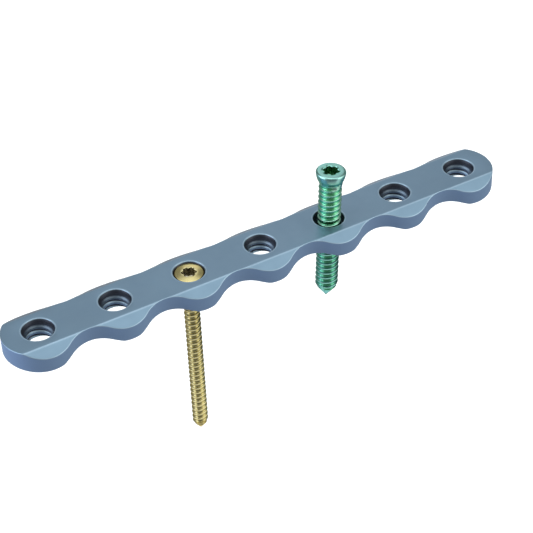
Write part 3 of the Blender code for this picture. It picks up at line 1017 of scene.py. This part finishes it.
def add_ramp(nodes, links, source, stops):
    """Map a value between -1 and 1 to a soft ramp of colours. A stop is a value and its colour."""
    mapped = nodes.new("ShaderNodeMapRange")
    mapped.inputs["From Min"].default_value = -1.0
    mapped.inputs["From Max"].default_value = 1.0
    links.new(source, mapped.inputs["Value"])
    ramp = nodes.new("ShaderNodeValToRGB")
    ramp.color_ramp.interpolation = "EASE"
    elements = ramp.color_ramp.elements
    while len(elements) < len(stops):
        elements.new(0.5)
    for element, (value, colour) in zip(elements, stops):
        element.position = (value + 1) / 2
        element.color = (*colour, 1.0)
    links.new(mapped.outputs["Result"], ramp.inputs["Fac"])
    return ramp.outputs["Color"]


def anodised(nodes, links, shader, colours, roughness, grain):
    """Set up an anodised titanium: a tinted metal whose film, polish and grain vary a little."""
    shader.inputs["Metallic"].default_value = 1.0
    film = add_noise(nodes, links, *FILM_NOISE)
    colour = add_mix(nodes, links, add_range(nodes, links, film, 0.0, 1.0), *colours)
    polish = add_noise(nodes, links, *POLISH_NOISE)
    rough = add_range(nodes, links, polish, *(roughness + part for part in POLISH_RANGE))
    links.new(rough, shader.inputs["Roughness"])
    scale, stretch, depth = grain
    bump = nodes.new("ShaderNodeBump")
    bump.inputs["Strength"].default_value = GRAIN_STRENGTH
    bump.inputs["Distance"].default_value = depth
    links.new(add_noise(nodes, links, scale, GRAIN_DETAIL, stretch), bump.inputs["Height"])
    links.new(bump.outputs["Normal"], shader.inputs["Normal"])
    return colour, rough


def off_axis(nodes, links, where):
    """Return the distance from the axis of the nearest hole."""
    along = add_math(nodes, links, "WRAP", where["X"], HOLE_PITCH / 2)
    along.node.inputs[2].default_value = -HOLE_PITCH / 2
    squares = [add_math(nodes, links, "POWER", value, 2.0) for value in (along, where["Y"])]
    return add_math(nodes, links, "SQRT", add_math(nodes, links, "ADD", *squares))


def line_near(nodes, links, value, line, reach):
    """Return where a value is near a line. The reach is how far off it is 0 and 1."""
    off = add_math(nodes, links, "ABSOLUTE", add_math(nodes, links, "SUBTRACT", value, line))
    return add_step(nodes, links, off, *reach)


def plate_highlights(nodes, links, where, facing, radius):
    """Return where highlights are painted on the plate: its creases, upper edges and hole rims."""
    upward = add_step(nodes, links, facing["Z"], *FACES_UP)
    sideways = add_math(nodes, links, "ABSOLUTE", where["Y"])
    crease = line_near(nodes, links, sideways, CREASE_HIGHLIGHT_LINE, CREASE_HIGHLIGHT_REACH)
    crease = add_product(nodes, links, crease, upward, CREASE_HIGHLIGHT)
    rising = add_step(nodes, links, facing["Z"], *EDGE_RISES)
    falling = add_step(nodes, links, facing["Z"], *EDGE_FALLS)
    edge = add_product(nodes, links, rising, falling)
    rim = line_near(nodes, links, radius, RIM_HIGHLIGHT_LINE, RIM_HIGHLIGHT_REACH)
    rim = add_product(nodes, links, rim, upward)
    lines = add_math(nodes, links, "MAXIMUM", crease, edge)
    return add_math(nodes, links, "MAXIMUM", lines, rim)


def hole_shade(nodes, links, where, radius):
    """Return where shade is painted in the holes: on their cones and in the grooves of their
    bores.
    """
    inside = add_step(nodes, links, radius, *HOLE_INSIDE)
    below = add_step(nodes, links, where["Z"], *CONE_BELOW)
    above = add_step(nodes, links, where["Z"], *CONE_ABOVE)
    cone = add_product(nodes, links, inside, below, above)
    deep = add_step(nodes, links, where["Z"], *GROOVES_BELOW)
    groove = add_step(nodes, links, radius, *GROOVE_RADII)
    groove = add_product(nodes, links, inside, deep, groove)
    return add_math(nodes, links, "MAXIMUM", cone, groove)


def plate_metal():
    """Return the plate's blue-grey metal with blasted sides, and painted light, highlights and
    shade.
    """
    material, nodes, links, shader = new_material("anodised_blue_grey")
    colour, rough = anodised(nodes, links, shader, PLATE_COLOURS, PLATE_ROUGHNESS, PLATE_GRAIN)
    place = nodes.new("ShaderNodeTexCoord")
    where = split(nodes, links, place.outputs["Object"])
    facing = split(nodes, links, place.outputs["Normal"])
    radius = off_axis(nodes, links, where)
    level = add_math(nodes, links, "ABSOLUTE", facing["Z"])
    # Painted light: the upright faces get the lighter side colour
    upright = add_step(nodes, links, level, *FACES_SIDEWAYS)
    colour = add_mix(nodes, links, upright, colour, PLATE_SIDE_LIT_COLOUR)
    # Painted shade on the faces that look down
    under = add_step(nodes, links, facing["Z"], *FACES_DOWN)
    colour = add_mix(nodes, links, under, colour, PLATE_UNDER_SHADE_COLOUR)
    blasted = add_product(nodes, links, upright, PLATE_SIDE_ROUGHNESS)
    links.new(add_math(nodes, links, "MAXIMUM", rough, blasted), shader.inputs["Roughness"])
    # Painted highlight along the creases, upper edges and hole rims
    painted_highlight = plate_highlights(nodes, links, where, facing, radius)
    colour = add_mix(nodes, links, painted_highlight, colour, PLATE_HIGHLIGHT_COLOUR)
    # Painted shade in the holes
    dark = hole_shade(nodes, links, where, radius)
    links.new(add_mix(nodes, links, dark, colour, HOLE_SHADE_COLOUR), shader.inputs["Base Color"])
    return material


def screw_metal(name, rim, film, metal, coat):
    """Return a screw's metal with painted light: highlights on crests, shade in grooves and
    recess.
    """
    colours, crest_highlight_colour, groove_shade_colour, recess_shade_colour = metal
    material, nodes, links, shader = new_material(name)
    shader.inputs["Specular Tint"].default_value = (*rim, 1.0)
    shader.inputs["Coat Weight"].default_value = coat
    shader.inputs["Coat Roughness"].default_value = COAT_ROUGHNESS
    colour, _ = anodised(nodes, links, shader, colours, SCREW_ROUGHNESS, SCREW_GRAIN)
    # The marks that say where light and shade are painted
    painted_light_marks = nodes.new("ShaderNodeAttribute")
    painted_light_marks.attribute_name = "painted_light_marks"
    marks = nodes.new("ShaderNodeSeparateColor")
    links.new(painted_light_marks.outputs["Color"], marks.inputs["Color"])
    height = marks.outputs["Green"]
    place = painted_light_marks.outputs["Alpha"]
    # Painted shade in the thread's grooves
    deep = add_step(nodes, links, height, *IN_GROOVE)
    colour = add_mix(nodes, links, deep, colour, groove_shade_colour)
    # Painted highlight on the crests and the mouth of the recess
    crest = add_step(nodes, links, height, *ON_CREST)
    painted_highlight = add_math(nodes, links, "MAXIMUM", crest, marks.outputs["Blue"])
    colour = add_mix(nodes, links, painted_highlight, colour, crest_highlight_colour)
    # Painted light on the locking screw's thread above the plate: lighter off the crests, darker
    # on them
    upper = add_step(nodes, links, place, *ON_UPPER_THREAD)
    on_crest = add_product(nodes, links, upper, crest)
    colour = add_tint(nodes, links, on_crest, colour, UPPER_CREST_PAINTED_SHADE)
    off_crest = add_product(nodes, links, upper, add_math(nodes, links, "SUBTRACT", 1.0, crest))
    colour = add_tint(nodes, links, off_crest, colour, UPPER_PAINTED_LIGHT)
    # Painted light: grooves lighter and tinted on the sides that face the studio's bright left and
    # right
    threaded = add_step(nodes, links, place, *ON_THREAD)
    in_groove = add_product(nodes, links, threaded, deep)
    normal = nodes.new("ShaderNodeTexCoord").outputs["Normal"]
    across = add_vector(nodes, links, "DOT_PRODUCT", normal, STUDIO_SIDEWAYS)
    colour = add_tint(nodes, links, in_groove, colour, add_ramp(nodes, links, across, film))
    # Painted shade in the drive recess
    colour = add_mix(nodes, links, marks.outputs["Red"], colour, recess_shade_colour)
    links.new(colour, shader.inputs["Base Color"])
    return material


def set_finishes(plate, cortex, locking):
    """Give the three pieces their metals."""
    gold = screw_metal("anodised_gold", CORTEX_RIM, CORTEX_SIDE_LIGHT, CORTEX_METAL, CORTEX_COAT)
    green = screw_metal("anodised_green", LOCKING_RIM, LOCKING_SIDE_LIGHT, LOCKING_METAL, LOCKING_COAT)
    for piece, metal in ((plate, plate_metal()), (cortex, gold), (locking, green)):
        piece.data.materials.append(metal)


# Studio

def backdrop_share(nodes, links, in_metal):
    """Return how much of the white backdrop a ray sees: all for the camera, some for metal."""
    path = nodes.new("ShaderNodeLightPath")
    glossy = add_math(nodes, links, "MULTIPLY", path.outputs["Is Glossy Ray"], in_metal)
    clear = path.outputs["Is Transmission Ray"]
    through = add_math(nodes, links, "MAXIMUM", glossy, clear)
    return add_math(nodes, links, "MAXIMUM", path.outputs["Is Camera Ray"], through)


def add_mix_shader(nodes, links, factor, first, second):
    """Mix two shaders."""
    mix = nodes.new("ShaderNodeMixShader")
    links.new(factor, mix.inputs["Fac"])
    links.new(first, mix.inputs[1])
    links.new(second, mix.inputs[2])
    return mix.outputs["Shader"]


def make_floor():
    """Make the pale floor, below the screws. Metals mirror the studio round it instead."""
    bm = bmesh.new()
    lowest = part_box("cortex_screw")[0].z
    bmesh.ops.create_grid(bm, x_segments=1, y_segments=1, size=FLOOR_HALF)
    floor = link("floor", bm)
    floor.data.transform(Matrix.Translation((0, 0, lowest - FLOOR_GAP)))
    material, nodes, links, shader = new_material("pale_floor")
    shader.inputs["Base Color"].default_value = (*FLOOR_COLOUR, 1.0)
    shader.inputs["Roughness"].default_value = FLOOR_ROUGHNESS
    shader.inputs["Specular IOR Level"].default_value = 0.0
    glow = nodes.new("ShaderNodeEmission")
    glow.inputs["Strength"].default_value = FLOOR_GLOW
    both = nodes.new("ShaderNodeAddShader")
    links.new(shader.outputs[0], both.inputs[0])
    links.new(glow.outputs[0], both.inputs[1])
    share = backdrop_share(nodes, links, BACKDROP_IN_METAL)
    mixed = add_mix_shader(nodes, links, share, shader.outputs[0], both.outputs[0])
    links.new(mixed, nodes["Material Output"].inputs["Surface"])
    floor.data.materials.append(material)
    floor.visible_glossy = False


def studio_only(stops):
    """Take the backdrop's share out of the light that metal is to mirror."""
    left = 1 - BACKDROP_IN_METAL
    return tuple(
        (value, tuple(max(level - BACKDROP_IN_METAL, 0.0) / left for level in colour))
        for value, colour in stops
    )


def make_world():
    """Light the object from a soft studio: bright overhead and at both sides, dim in front."""
    world = bpy.data.worlds.new("studio")
    bpy.context.scene.world = world
    world.use_nodes = True
    nodes = world.node_tree.nodes
    links = world.node_tree.links
    direction = nodes.new("ShaderNodeTexCoord").outputs["Generated"]
    height = split(nodes, links, direction)["Z"]
    level = add_vector(nodes, links, "MULTIPLY", direction, (1, 1, 0))
    level = add_vector(nodes, links, "NORMALIZE", level)
    front = add_vector(nodes, links, "DOT_PRODUCT", level, STUDIO_AHEAD)
    across = add_vector(nodes, links, "DOT_PRODUCT", level, STUDIO_SIDEWAYS)
    above = add_ramp(nodes, links, height, studio_only(SKY_STOPS))
    high = add_ramp(nodes, links, front, studio_only(HIGH_STOPS))
    low = add_ramp(nodes, links, front, studio_only(LOW_STOPS))
    rise = add_ramp(nodes, links, height, RISE_STOPS)
    around = add_mix(nodes, links, rise, low, high)
    sides = add_ramp(nodes, links, across, SIDE_STOPS)
    around = add_vector(nodes, links, "MULTIPLY", around, sides)
    share = add_ramp(nodes, links, height, SHARE_STOPS)
    light = add_mix(nodes, links, share, above, around)
    background = nodes["Background"]
    links.new(light, background.inputs["Color"])
    white = nodes.new("ShaderNodeBackground")
    white.inputs["Color"].default_value = (1, 1, 1, 1)
    seen = backdrop_share(nodes, links, BACKDROP_IN_METAL)
    mixed = add_mix_shader(nodes, links, seen, background.outputs[0], white.outputs[0])
    links.new(mixed, nodes["World Output"].inputs["Surface"])


def make_camera():
    """Place the camera at the photograph's viewing angle."""
    forward = Vector((
        math.cos(VIEW_HEIGHT) * math.sin(VIEW_TURN),
        math.cos(VIEW_HEIGHT) * math.cos(VIEW_TURN),
        -math.sin(VIEW_HEIGHT),
    ))
    level = Vector((math.cos(VIEW_TURN), -math.sin(VIEW_TURN), 0))
    upright = level.cross(forward)
    right = math.cos(VIEW_ROLL) * level + math.sin(VIEW_ROLL) * upright
    up = -math.sin(VIEW_ROLL) * level + math.cos(VIEW_ROLL) * upright
    data = bpy.data.cameras.new("camera")
    data.sensor_fit = "HORIZONTAL"
    data.sensor_width = SENSOR_MM
    data.lens = LENS_MM
    data.clip_start = NEAREST_SEEN
    camera = bpy.data.objects.new("camera", data)
    bpy.context.scene.collection.objects.link(camera)
    turn = Matrix((right, up, -forward)).transposed().to_4x4()
    camera.matrix_world = Matrix.Translation(CAMERA_PLACE + Vector((0, 0, TOP))) @ turn
    bpy.context.scene.camera = camera


def dress(piece, node):
    """Let a piece ride on the body and stand for its CAD node."""
    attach(piece, BODY)
    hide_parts(node)


make_camera()
plate_piece = make_plate()
cortex_piece = make_cortex_screw()
locking_piece = make_locking_screw()
set_finishes(plate_piece, cortex_piece, locking_piece)
dress(plate_piece, "bone_plate")
dress(cortex_piece, "cortex_screw")
dress(locking_piece, "locking_screw")
make_floor()
make_world()
bpy.context.scene.view_settings.view_transform = "Standard"
